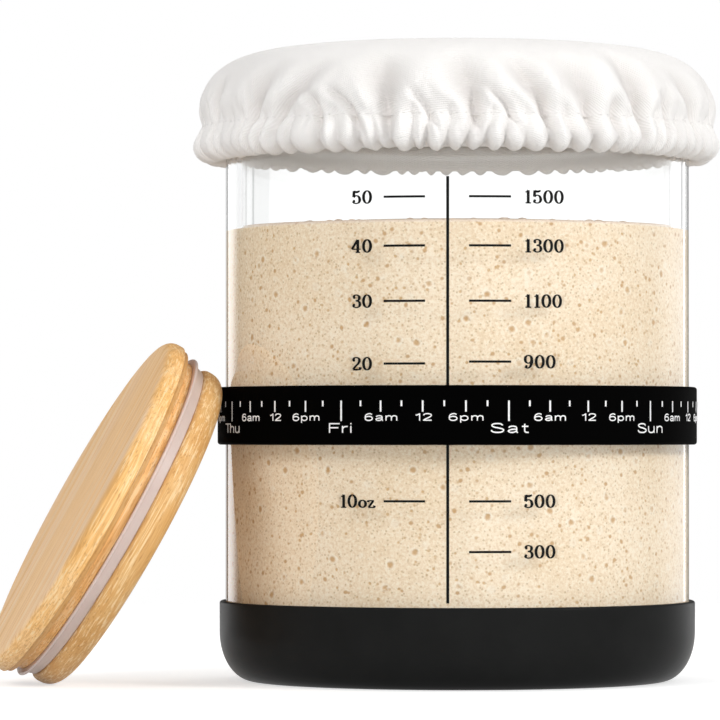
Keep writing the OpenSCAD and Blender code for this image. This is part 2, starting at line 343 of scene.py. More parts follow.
def doughFinish():
    tree = startFinish("starterFoam")
    place = tree.place()
    warped = tree.add("ShaderNodeVectorMath", dict(operation="MULTIPLY_ADD"),
                      {0: tree.noise(place, 160, 2, output="Color"), 1: (0.0012, 0.0012, 0.0012), 2: place})

    def cells(scale):
        return tree.add("ShaderNodeTexVoronoi", None, {"Vector": warped, "Scale": scale}, "Distance")

    crowd = tree.soften(tree.noise(place, 130, 3), 0.34, 0.56)
    hole = cells(155)
    pinMask = 1 - tree.soften(cells(800), 0.12, 0.32)
    poreMask = (1 - tree.soften(cells(430), 0.1, 0.27)) * crowd
    spotMask = 1 - tree.soften(cells(240), 0.08, 0.2)
    holeMask = 1 - tree.soften(hole, 0.06, 0.18)
    haloMask = tree.soften(hole, 0.14, 0.18) * (1 - tree.soften(hole, 0.19, 0.28))
    cloud = tree.noise(place, 38, 4)
    crumb = tree.noise(place, 1250, 2, 0.7)
    # a smeared, pinkish line where the foam has wetted the glass
    smear = tree.soften(tree.parts(place)[2], *dough["smear"])
    tan = tree.blend(tree.soften(cloud, 0.3, 0.7), (0.865, 0.695, 0.49), (0.92, 0.77, 0.58))
    for share, colour in ((tree.soften(crumb, 0.51, 0.62) * 0.45, (0.72, 0.53, 0.32)),
                          (tree.soften(crumb, 0.48, 0.38) * 0.5, (0.98, 0.89, 0.73)),
                          (pinMask * 0.75, (0.60, 0.43, 0.24)),
                          (poreMask * 0.85, (0.60, 0.37, 0.16)),
                          (tree.calc("MAXIMUM", holeMask, spotMask) * 0.85, (0.56, 0.33, 0.14)),
                          (haloMask * 0.3, (0.97, 0.91, 0.79)),
                          (smear * 0.55, (0.87, 0.70, 0.60))):
        tan = tree.blend(share, tan, colour)
    height = 1 - pinMask * 0.25 - poreMask * 0.5 - holeMask
    return endFinish(tree, Base_Color=tan, Roughness=0.62 - holeMask * 0.15, Specular_IOR_Level=0.3,
                     Normal=tree.bump(height, 0.3, 0.0005))


def makeDough():
    d = dough
    edge, bottom = d["radius"] - d["edgeRound"], d["bottomRound"]
    top = [(edge * (1 - i / 20), d["edgeZ"] - 0.5 + (d["rise"] + 0.5) * (1 - (1 - i / 20) ** 4))
           for i in range(1, 21)]
    outline = ([(0, d["low"])] + corner(d["radius"] - bottom, d["low"] + bottom, bottom, -90, 0)
               + corner(edge, d["edgeZ"] - d["edgeRound"], d["edgeRound"], 0, 80, 6) + top)
    makePiece("dough_body", *turned(steadied(outline)), foam, "jar", ["starter_dough"], "dough")


def makeBubbles():
    # blisters on the starter's open top
    d = dough
    dome = [(d["blisterR"] * i / 6, d["edgeZ"] + d["rise"] * (1 - (0.95 * i / 6) ** 4) - d["blisterSink"])
            for i in range(6, -1, -1)]
    tree = Growth("dough_blisters", {"Density": d["blisters"], "Smallest": d["smallest"],
                                     "Largest": d["largest"], "Seed": d["seed"]})
    given = tree.given
    spots = tree.add("GeometryNodeDistributePointsOnFaces", dict(distribute_method="RANDOM"),
                     {"Mesh": given["Geometry"], "Density": given["Density"], "Seed": given["Seed"]})
    draw = tree.add("FunctionNodeRandomValue", dict(data_type="FLOAT"),
                    {2: 0.0, 3: 1.0, "Seed": given["Seed"] + 3}, 1)
    size = given["Smallest"] + (given["Largest"] - given["Smallest"]) * draw ** 4
    ball = tree.add("GeometryNodeMeshIcoSphere", None, {"Radius": 1.0, "Subdivisions": 3})
    shaded = tree.add("GeometryNodeSetShadeSmooth", None, {"Geometry": ball})
    bubbles = tree.add("GeometryNodeInstanceOnPoints", None,
                       {"Points": spots, "Instance": shaded, "Scale": tree.joined(size, size, size * 0.62)})
    host = makeMesh("doughTop", *turned(dome, 64))
    finishPiece("dough_blisters", tree.grown(bubbles, foam, host), "jar", ())


foam = doughFinish()
makeDough()
makeBubbles()
print("starter done")


# volume scale on the glass, with numerals drawn by strokes

scale = dict(radius=66.18, height=0.1, angle=-2.2, lineW=0.8, lineLow=24, lineHigh=140.5, markL=11.6,
             markW=0.62, leftSpace=5.8, rightSpace=5.4, digit=3.65, wide=3.9, leftEdge=-23.6, rightEdge=18.4,
             thin=0.095, thick=0.225, shortIn=0.2, longIn=0.9,
             left=((135, "50"), (121.6, "40"), (106.5, "30"), (89.4, "20"), (51.8, "10oz")),
             right=((135, "1500"), (121.6, "1300"), (106.5, "1100"), (89.9, "900"), (51.8, "500"),
                    (38, "300")))


def oval(x, z, w, h, count=12):
    turns = [math.tau * i / count for i in range(count)]
    return [(x + w / 2 * math.cos(turn), z + h / 2 * math.sin(turn)) for turn in turns]


# each sign, in hundredths of its height: its step to the next, closed strokes, open strokes and blobs
numerals = {
    "0": (83, [oval(37, 50, 54, 92)], [], []),
    "1": (66, [], [[(34, 98), (34, 60), (34, 2)], [(34, 97), (26, 87), (14, 84)],
          [(14, 3), (34, 3), (55, 3)]], []),
    "2": (82, [], [[(13, 74), (20, 91), (37, 97), (56, 88), (60, 70), (50, 50), (30, 30), (12, 7)],
          [(12, 3.5), (35, 7.5), (60, 4.5)], [(13, 6), (35, 3), (60, 7.5)],
          [(60, 5), (65, 12), (67, 24)]], [(17, 75, 10)]),
    "3": (80, [], [[(14, 78), (20, 92), (36, 97), (53, 89), (57, 74), (50, 59), (30, 53)],
          [(30, 53), (53, 47), (62, 27), (54, 9), (34, 3), (17, 9), (11, 22)]],
          [(18, 77, 9.5), (16, 22, 10)]),
    "4": (84, [], [[(50, 98), (50, 60), (50, 2)], [(48, 96), (26, 62), (4, 28)],
          [(4, 27), (36, 27), (72, 27)], [(34, 3), (50, 3), (68, 3)]], []),
    "5": (80, [], [[(17, 97), (15, 75), (14, 50)], [(17, 96), (38, 92), (60, 97)],
          [(17, 92), (38, 88), (59, 95)], [(17, 88), (38, 85), (57, 94)],
          [(14, 50), (30, 61), (50, 56), (61, 32), (53, 10), (34, 3), (17, 8), (11, 20)]], [(16, 21, 10)]),
    "9": (82, [oval(35, 68, 48, 58)], [[(59, 70), (60, 46), (49, 16), (33, 3), (20, 6), (14, 16)]],
          [(20, 16, 9.5)]),
    "o": (70, [oval(33, 30, 48, 52)], [], []),
    "z": (62, [], [[(7, 42), (10, 53), (28, 54), (50, 54)], [(45, 52), (27, 28), (10, 5)],
          [(8, 3), (30, 3), (49, 4), (54, 17)]], []),
}


def smoothed(points, closed, steps=6):
    # a smooth path through the points
    count = len(points)
    path = []
    for i in range(count if closed else count - 1):
        near = [(i + k) % count if closed else min(max(i + k, 0), count - 1) for k in (-1, 0, 1, 2)]
        for s in range(steps):
            t = s / steps
            path.append(tuple(0.5 * (2 * q + (r - p) * t + (2 * p - 5 * q + 4 * r - w) * t * t
                                     + (3 * q - p - 3 * r + w) * t ** 3)
                              for p, q, r, w in zip(*(points[k] for k in near))))
    return path if closed else path + [points[-1]]


def ribbon(points, closed, thin, thick):
    # a stroke that is thick where it runs up and down, and thin where it runs across
    path = smoothed(points, closed, 6 if len(points) > 2 else 1)
    count = len(path)
    left, right = [], []
    for i, (x, z) in enumerate(path):
        before = path[i - 1] if i or closed else path[0]
        after = path[(i + 1) % count] if i < count - 1 or closed else path[-1]
        dx, dz = after[0] - before[0], after[1] - before[1]
        long = math.hypot(dx, dz) or 1
        half = (thin + (thick - thin) * (abs(dz) / long) ** 2.2) / 2
        left.append((x - dz / long * half, z + dx / long * half))
        right.append((x + dz / long * half, z - dx / long * half))
    steps = [(i, (i + 1) % count) for i in range(count if closed else count - 1)]
    return [[right[i], right[k], left[k], left[i]] for i, k in steps]


def written(word, signs, x, z, wide, high, thin, thick):
    # the strokes of a word from its left end and its foot line, and how wide the word is
    patches, at = [], 0
    for sign in word:
        step, loops, lines, blobs = signs[sign]

        def put(points):
            return [(x + (at + a / 100) * wide, z + b / 100 * high) for a, b in points]

        for points in loops:
            patches += ribbon(put(points), True, thin, thick)
        for points in lines:
            patches += ribbon(put(points), False, thin, thick)
        patches += [put(oval(a, b, 2 * r, 2 * r, 14)) for a, b, r in blobs]
        at += step / 100
    return patches, at * wide


def wrapped(patches, radius, thick):
    # flat patches laid on a cylinder as thin solids; x is the arc to the right of the front
    points, faces = [], []
    for patch in patches:
        area = sum(a[0] * b[1] - b[0] * a[1] for a, b in zip(patch, patch[1:] + patch[:1]))
        ring = patch if area > 0 else patch[::-1]
        start, count = len(points), len(ring)
        for r in (radius, radius + thick):
            points += [(r * math.sin(x / radius), -r * math.cos(x / radius), z) for x, z in ring]
        faces.append(tuple(range(start + count, start + 2 * count)))
        faces.append(tuple(range(start + count - 1, start - 1, -1)))
        for i in range(count):
            k = (i + 1) % count
            faces.append((start + i, start + k, start + count + k, start + count + i))
    return points, faces


def strip(x0, x1, z0, z1, most=2.0):
    # a rectangle in short pieces, so that it follows the cylinder
    steps = max(1, math.ceil((x1 - x0) / most))
    cuts = [x0 + (x1 - x0) * i / steps for i in range(steps + 1)]
    return [[(a, z0), (b, z0), (b, z1), (a, z1)] for a, b in zip(cuts, cuts[1:])]


def inkFinish(name, level, rough):
    tree = startFinish(name)
    speck = tree.noise(tree.place(), 1500, 3)
    colour = (level,) * 3
    return endFinish(tree, Base_Color=tree.blend(speck, scaled(colour, 0.9), scaled(colour, 1.08, 0.002)),
                     Roughness=rough + speck * 0.1, Specular_IOR_Level=0.2,
                     Normal=tree.bump(speck, 0.2, 0.00002))


def makeVolumeScale():
    s = scale
    middle, half = math.radians(s["angle"]) * s["radius"], s["lineW"] / 2
    size, thin, thick = s["digit"], s["thin"] * s["digit"], s["thick"] * s["digit"]
    patches = strip(middle - half, middle + half, s["lineLow"], s["lineHigh"])
    for side in ("left", "right"):
        for z, word in s[side]:
            if side == "left":
                high = middle - half - s["leftSpace"]
                low = high - s["markL"]
                start = s["leftEdge"] - written(word, numerals, 0, 0, s["wide"], 1, 1, 1)[1]
                start += s["longIn" if len(word) > 2 else "shortIn"]
            else:
                low = middle + half + s["rightSpace"]
                high = low + s["markL"]
                start = s["rightEdge"]
            patches += strip(low, high, z - s["markW"] / 2, z + s["markW"] / 2)
            patches += written(word, numerals, start, z - size / 2, s["wide"], size, thin, thick)[0]
    makePiece("volume_print", *wrapped(patches, s["radius"], s["height"]), inkFinish("blackInk", 0.004, 0.75),
              "jar", ["volume_scale"], "black_print", False)


makeVolumeScale()
print("volume scale done")


# time band and its print

band = dict(inner=66.55, outer=68.3, low=67.15, high=83.5, edge=0.85, printRadius=68.42, printDepth=0.1,
            words=(("6am", 2), ("12", 4), ("6pm", 6)), days=("Mon", "Tue", "Wed", "Thu", "Fri", "Sat", "Sun"),
            first=-185.6, day=39.5, hourSize=2.0, daySize=2.65, stretch=2.1, hourZ=73.8, dayZ=70.5,
            hourPen=0.3, dayPen=0.35, marks=57, markTop=79.3, longMark=5.6, middleMark=3.05, shortMark=1.55,
            markW=0.47,
            finish=dict(colour=(0.0008,) * 3, rough=0.7, shine=0.01, grain=3400, relief=0.00003))

# plain letters, in the same form as the numerals
arch = [(0, 40), (8, 60), (25, 68), (42, 60), (46, 42), (46, 0)]
stem = [(0, 0), (0, 71)]
letters = {
    "1": (50, [], [[(28, 0), (28, 100)], [(27, 97), (18, 82), (2, 74)]], []),
    "2": (62, [], [[(4, 72), (10, 89), (30, 96), (50, 88), (54, 70), (42, 48), (18, 25), (4, 7)],
          [(0, 6), (57, 6)]], []),
    "6": (76, [oval(29, 31, 50, 56)], [[(51, 84), (41, 94), (26, 94), (10, 78), (4, 50), (4, 30)]], []),
    "a": (72, [], [[(5, 52), (12, 64), (28, 68), (42, 60), (45, 42), (45, 14), (50, 0)],
          [(45, 37), (20, 34), (3, 20), (12, 5), (30, 5), (45, 20)]], []),
    "d": (60, [oval(25, 35, 46, 62)], [[(48, 0), (48, 100)]], []),
    "e": (74, [], [[(4, 37), (52, 37)], [(52, 37), (47, 58), (28, 68), (9, 59), (3, 35), (9, 12), (29, 3),
          (50, 15)]], []),
    "h": (70, [], [[(0, 0), (0, 100)], arch], []),
    "i": (30, [], [stem, [(0, 88), (0, 100)]], []),
    "m": (90, [], [stem, [(0, 40), (8, 60), (20, 67), (33, 59), (36, 42), (36, 0)],
          [(36, 40), (44, 60), (56, 67), (69, 59), (72, 42), (72, 0)]], []),
    "n": (60, [], [stem, arch], []),
    "o": (74, [oval(28, 35, 50, 64)], [], []),
    "p": (74, [oval(26, 35, 46, 62)], [[(2, -27), (2, 71)]], []),
    "r": (46, [], [stem, [(0, 38), (9, 60), (28, 66)]], []),
    "t": (42, [], [[(14, 92), (14, 20), (20, 6), (34, 4)], [(0, 66), (32, 66)]], []),
    "u": (72, [], [[(0, 71), (0, 30), (6, 10), (20, 3), (38, 10), (46, 30)], [(46, 71), (46, 0)]], []),
    "F": (76, [], [[(2, 0), (2, 100)], [(2, 94), (60, 94)], [(2, 52), (52, 52)]], []),
    "M": (104, [], [[(2, 0), (2, 100)], [(3, 100), (42, 2)], [(42, 2), (81, 100)], [(82, 100), (82, 0)]],
          []),
    "S": (86, [], [[(61, 76), (52, 91), (32, 95), (12, 88), (8, 72), (20, 58), (42, 49), (61, 38),
          (65, 22), (53, 7), (33, 4), (12, 10), (4, 27)]], []),
    "T": (78, [], [[(0, 94), (74, 94)], [(37, 100), (37, 0)]], []),
    "W": (108, [], [[(0, 100), (26, 2)], [(26, 2), (51, 100)], [(51, 100), (76, 2)],
          [(76, 2), (102, 100)]], []),
}


def makeBand():
    b = band
    e = b["edge"]
    left, right, low, high = b["inner"] + e, b["outer"] - e, b["low"] + e, b["high"] - e
    outline = (corner(left, low, e, 180, 270, 8) + corner(right, low, e, -90, 0, 8)
               + corner(right, high, e, 0, 90, 8) + corner(left, high, e, 90, 180, 8))
    finish = rubberFinish("bandSilicone", **b["finish"])
    makePiece("band_ring", *turned(steadied(outline, True), 320, True), finish, "band", ["time_band"], "band")


def makeBandMarks():
    # one mark for each eighth of a day, long at midnight and middling at each quarter
    b = band
    tree = Growth("bandMarks", {
        "Marks": b["marks"], "Per Day": 8.0, "First": math.radians(b["first"]),
        "Step": math.radians(b["day"] / 8), "Radius": (b["printRadius"] + b["printDepth"] / 2) * mm,
        "Top": b["markTop"] * mm, "Long": b["longMark"] * mm, "Middle": b["middleMark"] * mm,
        "Short": b["shortMark"] * mm, "Width": b["markW"] * mm, "Depth": b["printDepth"] * mm})
    given = tree.given
    index = tree.add("GeometryNodeInputIndex")
    angle = given["First"] + index * given["Step"]
    even = 1 - index % 2.0
    midnight = (index % given["Per Day"]) < 0.5
    short, middle = given["Short"], given["Middle"]
    long = short + (middle - short) * even + (given["Long"] - middle) * midnight
    line = tree.add("GeometryNodeMeshLine", None, {"Count": given["Marks"], "Offset": (0.0, 0.0, 0.0)})
    radius = given["Radius"]
    place = tree.joined(radius * tree.calc("SINE", angle), radius * -1.0 * tree.calc("COSINE", angle),
                        given["Top"] - long / 2)
    spots = tree.add("GeometryNodeSetPosition", None, {"Geometry": line, "Position": place})
    bar = tree.add("GeometryNodeMeshCube", None, {"Size": (1.0, 1.0, 1.0)})
    marks = tree.add("GeometryNodeInstanceOnPoints", None,
                     {"Points": spots, "Instance": bar, "Rotation": tree.joined(0.0, 0.0, angle),
                      "Scale": tree.joined(given["Width"], given["Depth"], long)})
    return tree.grown(marks, whiteInk)


def makeWord(word, size, thick, centre, low):
    # a word as a thin solid wrapped on the band, its middle at an angle from the front
    wide = size * band["stretch"]
    half = written(word, letters, 0, 0, wide, size, 1, 1)[1] / 2
    start = math.radians(centre) * band["printRadius"] - half + 0.08 * wide
    patches = written(word, letters, start, low, wide, size, thick, thick)[0]
    return wrapped(patches, band["printRadius"], band["printDepth"])


def makeBandPrint():
    b = band
    mesh = makeBandMarks()
    points = [v.co.copy() for v in mesh.vertices]
    faces = [tuple(p.vertices) for p in mesh.polygons]
    bpy.data.meshes.remove(mesh)
    for i, name in enumerate(b["days"]):
        start = b["first"] + i * b["day"]
        jobs = [(name, b["daySize"], b["dayPen"], start, b["dayZ"])]
        jobs += [(word, b["hourSize"], b["hourPen"], start + place * b["day"] / 8, b["hourZ"])
                 for word, place in b["words"]]
        for job in jobs:
            some, more = makeWord(*job)
            faces += [tuple(k + len(points) for k in face) for face in more]
            points += [Vector(p) * mm for p in some]
    mesh = bpy.data.meshes.new("band_print")
    mesh.from_pydata(points, [], faces)
    mesh.materials.append(whiteInk)
    finishPiece("band_print", mesh, "scale ring", ["time_scale"], False)


makeBand()
whiteInk = inkFinish("whiteInk", 0.9, 0.55)
makeBandPrint()
print("band done")


# cloth cover: one round sheet, gathered by the elastic in its folded hem

cover = dict(columns=960, seed=23, thread=0.0006, tuck=4.7, middleR=72, crownRows=9, shoulderRows=36,
             hemRows=48, deepest=3.6, threadOut=0.12, stitchStep=2.6, stitchL=0.6, stitchT=0.13,
             crown=((0, 180.5), (20, 180.45), (38, 180.15), (50, 179.5)),
             shoulder=((50, 179.5), (57, 178.5), (63.5, 176.5), (68.6, 173.6), (71.8, 170.2), (73.6, 166.2),
                       (74.0, 163.3), (73.6, 160.6), (73.1, 159.0), (73.0, 157.6)),
             hem=((73.0, 157.6), (73.6, 156.1), (74.6, 154.4), (75.2, 152.4), (74.9, 150.4), (73.6, 148.6),
                  (71.3, 147.4), (68.8, 147.15), (67.1, 147.9), (66.45, 149.6), (66.42, 152), (66.42, 154.5),
                  (67.0, 156.3), (69.0, 156.9), (71.0, 157.0)),
             # the creases that the front shows: angle from the front, lean, climb, depth and width
             creases=((-84, 0.2, 13, 1.4, 3.0), (-68, 0.0, 16, 1.8, 3.4), (-51, 0.35, 19, 2.2, 4.2),
                      (-42, 0.8, 17, 2.2, 3.6), (-31.5, -0.5, 10, 1.5, 2.6), (-23, -0.9, 9, 1.9, 2.4),
                      (-15.5, -0.1, 20, 2.8, 4.8), (-6, -0.7, 9, 1.1, 2.0), (4, -0.25, 22, 3.0, 4.4),
                      (11.5, -0.8, 10, 1.5, 2.2), (19.5, -0.5, 20, 3.0, 3.4), (30, -0.3, 20, 2.4, 4.8),
                      (36.5, 0.1, 6, 1.2, 3.6), (44, -0.23, 24, 3.1, 4.2), (53, -0.3, 9, 1.4, 2.6),
                      (65, -0.5, 17, 2.0, 4.2), (79, -0.3, 14, 1.5, 3.4)))


def evenly(points, count):
    # a smooth path through the points, cut into even steps
    path = np.array(smoothed(points, False, 12))
    far = np.concatenate([[0], np.cumsum(np.hypot(*np.diff(path, axis=0).T))])
    at = np.linspace(0, far[-1], count + 1)
    return np.stack([np.interp(at, far, path[:, k]) for k in (0, 1)], 1)


def eased(value, low, high):
    t = np.clip((value - low) / (high - low), 0, 1)
    return t * t * (3 - 2 * t)


def clothSheet():
    # radius and height of the sheet for each row and column, with its folds
    c = cover
    draw = random.Random(c["seed"])
    path = np.concatenate([evenly(c["crown"], c["crownRows"]), evenly(c["shoulder"], c["shoulderRows"])[1:],
                           evenly(c["hem"], c["hemRows"])[1:]])
    seamRow = c["crownRows"] + c["shoulderRows"]
    flat = np.concatenate([[0], np.cumsum(np.hypot(*np.diff(path, axis=0).T))])
    slope = np.gradient(path, flat, axis=0)
    slope /= np.linalg.norm(slope, axis=1)[:, None]
    along = (flat - flat[seamRow])[:, None]
    up, down = np.clip(-along, 0, None), np.clip(along, 0, None)
    angles = np.arange(c["columns"]) * math.tau / c["columns"]
    a = angles[None, :]

    def apart(centre):
        return ((a - centre + math.pi) % math.tau - math.pi) * c["middleR"]

    creases = list(c["creases"])
    spans = (-0.7, 0.7), (9, 23), (1.3, 3.0), (2.2, 4.6)
    at = 92.0
    while at < 262:
        creases.append((at, *(draw.uniform(*span) for span in spans)))
        at += draw.uniform(7, 16)
    creases.sort()
    dent = np.zeros((len(path), c["columns"]))
    for place, lean, climb, deep, wide in creases:
        gap = apart(math.radians(place - 90) + (lean * up - 5 * lean * np.tanh(down / 5)) / c["middleR"])
        broad = wide * (0.4 + 0.55 * np.clip(up / 9, 0, 1)) * (1 - 0.25 * np.clip(down / 6, 0, 1))
        fade = ((1 - np.clip(up / climb, 0, 1) ** 2) ** 1.3 * (0.75 + 0.25 * np.clip(up / 5, 0, 1))
                * np.exp(-down / 7))
        off = np.abs(gap) / broad
        dent += 1.85 * deep * fade * (np.exp(-off ** 1.7) - 0.16 * np.exp(-((off - 2) / 0.8) ** 2))
    # ruffles of the hem: round tubes between narrow tucks, with each crease running into a tuck
    spots, deeps = [], []
    for first, second in zip(creases, creases[1:] + [(creases[0][0] + 360,)]):
        wide = second[0] - first[0]
        count = max(1, round(wide / c["tuck"]))
        for i in range(count):
            spots.append(first[0] + wide * (i + (draw.uniform(-0.34, 0.34) if i else 0)) / count)
            deeps.append(draw.choice((0.3, 0.7, 1.2, 1.6, 2.1)) if i else draw.uniform(1.6, 2.4))
    spots, deeps = np.radians(np.array(spots) - 90), np.array(deeps)
    count = len(spots)
    swing = np.array([0.2 * math.sin(k * 0.57) + draw.uniform(-0.06, 0.06) for k in range(count)])
    curl = np.array([draw.uniform(0.3, 0.9) * math.sin(k * 0.5 + 1) for k in range(count)])
    stand = np.array([draw.uniform(-0.8, 0.5) for k in range(count)])
    rise = np.array([draw.uniform(1.5, 6) for k in range(count)])
    sharp = np.array([draw.uniform(0.7, 1.5) for k in range(count)])
    for row in range(len(path)):
        below, above = float(down[row, 0]), float(up[row, 0])
        if above > 14:
            continue
        depth = min(below, 14)
        lines = spots + (swing * depth + curl * math.sin(math.pi * depth / 9)) / c["middleR"]
        turn = (angles - lines[0]) % math.tau + lines[0]
        low = np.searchsorted(lines, turn, side="right") - 1
        high = (low + 1) % count
        start = lines[low]
        end = np.where(high == 0, lines[0] + math.tau, lines[high])
        t = (turn - start) / (end - start)
        span = (end - start) * c["middleR"]
        tube = np.clip(0.2 * span, 0.4, 1.5) * (1 - np.sin(math.pi * t) ** sharp[low])
        tube = tube * (0.45 + 0.55 * min(below / 6, 1)) * math.exp(-above / 4.5)
        tube -= stand[low] * np.sin(math.pi * t) * math.sin(math.pi * min(below / 15, 1))
        tucks = sum(deeps[edge] * np.exp(-(gap * c["middleR"]) ** 1.3) * np.exp(-above / rise[edge])
                    for edge, gap in ((low, turn - start), (high, end - turn)))
        dent[row] += tube + tucks * (0.4 + 0.6 * min(below / 5, 1))
    # short wrinkles near the stitched line, broad unevenness of the crown, and the pull of the stitches
    for _ in range(150):
        side, long = draw.choice((-1, 1, 1)), draw.uniform(1.5, 5)
        middle = draw.uniform(1, 8) * side
        gap = apart(draw.uniform(0, math.tau) + draw.uniform(-0.5, 0.5) * (along - middle) / c["middleR"])
        high, broad = draw.uniform(0.15, 0.5), draw.uniform(0.7, 1.5)
        dent += high * np.exp(-(gap / broad) ** 2 - ((along - middle) / long) ** 2)
    for _ in range(9):
        high = draw.uniform(0.04, 0.14)
        wave = np.cos(draw.randint(3, 15) * a + draw.uniform(0, math.tau))
        dent += high * (1 + wave) * np.exp(-((up - 12) / 8) ** 2)
    dent += 0.2 * np.exp(-(along / 0.8) ** 2) * (1 + 0.8 * np.cos(a * 174))
    limit = np.where(along < 0, 5.6, 0.15 + 3.9 * (1 - eased(down, 12.5, 18.5)))
    dent = limit * np.tanh(dent / limit)
    return path[:, :1] + dent * slope[:, 1:], path[:, 1:] - dent * slope[:, :1], flat, angles, dent, seamRow


def clothFinish():
    tree = startFinish("coverCotton")
    place = tree.add("ShaderNodeUVMap", dict(uv_map="flat"))
    x, y, z = tree.parts(place)
    stray = tree.noise(place, 260, 2) * 3
    turn = math.tau / cover["thread"]
    over = tree.calc("SINE", (x + y) * (turn / 2)) * tree.calc("SINE", (x - y) * (turn / 2))
    weave = tree.calc("SINE", x * turn + stray) * 0.3 + tree.calc("SINE", y * turn + stray) * 0.3 + over * 0.5
    slub = tree.noise(tree.joined(x * 40, y * 900, 0.0), 1, 2)
    depth = tree.add("ShaderNodeAttribute", dict(attribute_name="dent"), None, "Fac")
    ground = tree.blend(tree.noise(place, 30, 3), (0.925, 0.902, 0.882), (0.955, 0.938, 0.92))
    ground = tree.blend(tree.soften(weave, 0.1, -0.9) * 0.3, ground, (0.77, 0.745, 0.72))
    # painted shade: the valleys of the folds are darkened by their depth, on top of the shade the folds
    # really cast
    ground = tree.blend(depth * 0.6, ground, (0.64, 0.6, 0.575))
    crinkle = tree.bump(tree.noise(place, 240, 4, 0.6), 0.25, 0.0009)
    return endFinish(tree, Base_Color=ground, Roughness=0.9 - slub * 0.08, Specular_IOR_Level=0.15,
                     Sheen_Weight=0.12, Sheen_Roughness=0.5,
                     Normal=tree.bump(weave * 0.6 + slub * 0.5, 0.7, 0.0002, crinkle))


def makeCover():
    n = cover["columns"]
    radii, heights, flat, angles, dent, seamRow = clothSheet()
    points = [(0, 0, heights[0, 0])]
    cosines, sines = np.cos(angles), np.sin(angles)
    for row in range(1, len(flat)):
        points += list(zip(radii[row] * cosines, radii[row] * sines, heights[row]))
    faces = [(0, 1 + j, 1 + (j + 1) % n) for j in range(n)]
    for base in range(1, 1 + (len(flat) - 2) * n, n):
        faces += [(base + j, base + n + j, base + n + (j + 1) % n, base + (j + 1) % n) for j in range(n)]
    piece = makePiece("cloth_sheet", points, faces, clothFinish(), "cover", ["cloth_cover", "cover_hem"],
                      "cloth")
    mesh = piece.data
    index = np.empty(len(mesh.loops), dtype=np.int64)
    mesh.loops.foreach_get("vertex_index", index)
    row = np.where(index == 0, 0, (index - 1) // n + 1)
    angle = angles[np.where(index == 0, 0, (index - 1) % n)]
    reach = flat[row] * mm
    layer = mesh.uv_layers.new(name="flat")
    layer.data.foreach_set("uv", np.stack([reach * np.cos(angle), reach * np.sin(angle)], 1).ravel())
    # the depth of each fold, kept for the painted shade in the valleys of the cotton
    shade = mesh.attributes.new("dent", "FLOAT", "POINT")
    shade.data.foreach_set("value", np.clip(np.concatenate([[0], dent[1:].ravel()]) / cover["deepest"], 0, 1))
    seamR = radii[seamRow] + cover["threadOut"]
    return piece, flat[-1], np.stack([seamR * cosines, seamR * sines, heights[seamRow]], 1)


def threadFinish():
    tree = startFinish("sewingThread")
    twist = tree.noise(tree.place(), 4200, 2)
    return endFinish(tree, Base_Color=tree.blend(twist, (0.72, 0.7, 0.68), (0.86, 0.845, 0.83)),
                     Roughness=0.85, Specular_IOR_Level=0.2, Normal=tree.bump(twist, 0.5, 0.00006))


def makeStitches(ring):
    # thread that shows on the seam between its holes
    c, count = cover, len(ring)
    path = makeMesh("seamPath", ring, [], None, [(i, (i + 1) % count) for i in range(count)])
    tree = Growth("cover_stitches", {"Spacing": c["stitchStep"] * mm, "Length": c["stitchL"] * mm,
                                     "Thread": c["stitchT"] * mm})
    given = tree.given
    curve = tree.add("GeometryNodeMeshToCurve", None, {"Mesh": given["Geometry"]})
    spaced = tree.add("GeometryNodeResampleCurve", dict(mode="LENGTH"),
                      {"Curve": curve, "Length": given["Spacing"]})
    tangent = tree.add("GeometryNodeInputTangent")
    turn = tree.add("FunctionNodeAlignRotationToVector", dict(axis="X"), {"Vector": tangent})
    ball = tree.add("GeometryNodeMeshUVSphere", None, {"Segments": 10, "Rings": 6, "Radius": 1.0})
    shaded = tree.add("GeometryNodeSetShadeSmooth", None, {"Geometry": ball})
    sewn = tree.add("GeometryNodeInstanceOnPoints", None,
                    {"Points": spaced, "Instance": shaded, "Rotation": turn,
                     "Scale": tree.joined(given["Length"], given["Thread"], given["Thread"])})
    return finishPiece("cover_stitches", tree.grown(sewn, threadFinish(), path), "cover", ())


def elasticFinish():
    tree = startFinish("knittedElastic")
    x, y, z = tree.parts(tree.place())
    rib = tree.calc("SINE", z * (math.tau / 0.0009))
    knit = tree.calc("SINE", tree.calc("ARCTAN2", y, x) * 620 + rib * 1.2)
    height = rib * 0.5 + knit * 0.5
    shade = tree.blend(tree.soften(height, -0.6, 0.5), (0.62, 0.61, 0.6), (0.84, 0.835, 0.82))
    return endFinish(tree, Base_Color=shade, Roughness=0.8 + rib * 0.05,
                     Normal=tree.bump(height, 0.6, 0.0002))


sheetPiece, sheetReach, seamRing = makeCover()
stitchPiece = makeStitches(seamRing)
2 * sheetReach * mm
2 * sheetReach * mm
math.pi * (sheetReach * mm) ** 2
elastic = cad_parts["hem_elastic"]
elastic.data.materials.clear()
elastic.data.materials.append(elasticFinish())
print("cloth cover done")


# bamboo lid, leaning on the band

lid = dict(topR=52, plugR=49.6, stepR=48.8, sealR=50.7, sealLip=0.9, sealBack=1.3, sealTaper=0.9,
           sealFit=0.02, hubR=43.85, sealGap=0.15, plugT=7.6, sealT=3.7, stepT=2.7, topT=6.5, ledgeT=1.4,
           ledgeBack=0.8, ledgeRound=0.3, edge=0.25, plugRound=4.9, topRound=3.4, innerRound=1.8, lean=29,
           turn=11.4, printR=68.4, printT=0.15, bandGap=0.3, stripW=0.0135, pale=(0.99, 0.63, 0.285),
           warm=(0.94, 0.53, 0.178), plugPale=(0.8, 0.49, 0.2), plugWarm=(0.76, 0.41, 0.13))


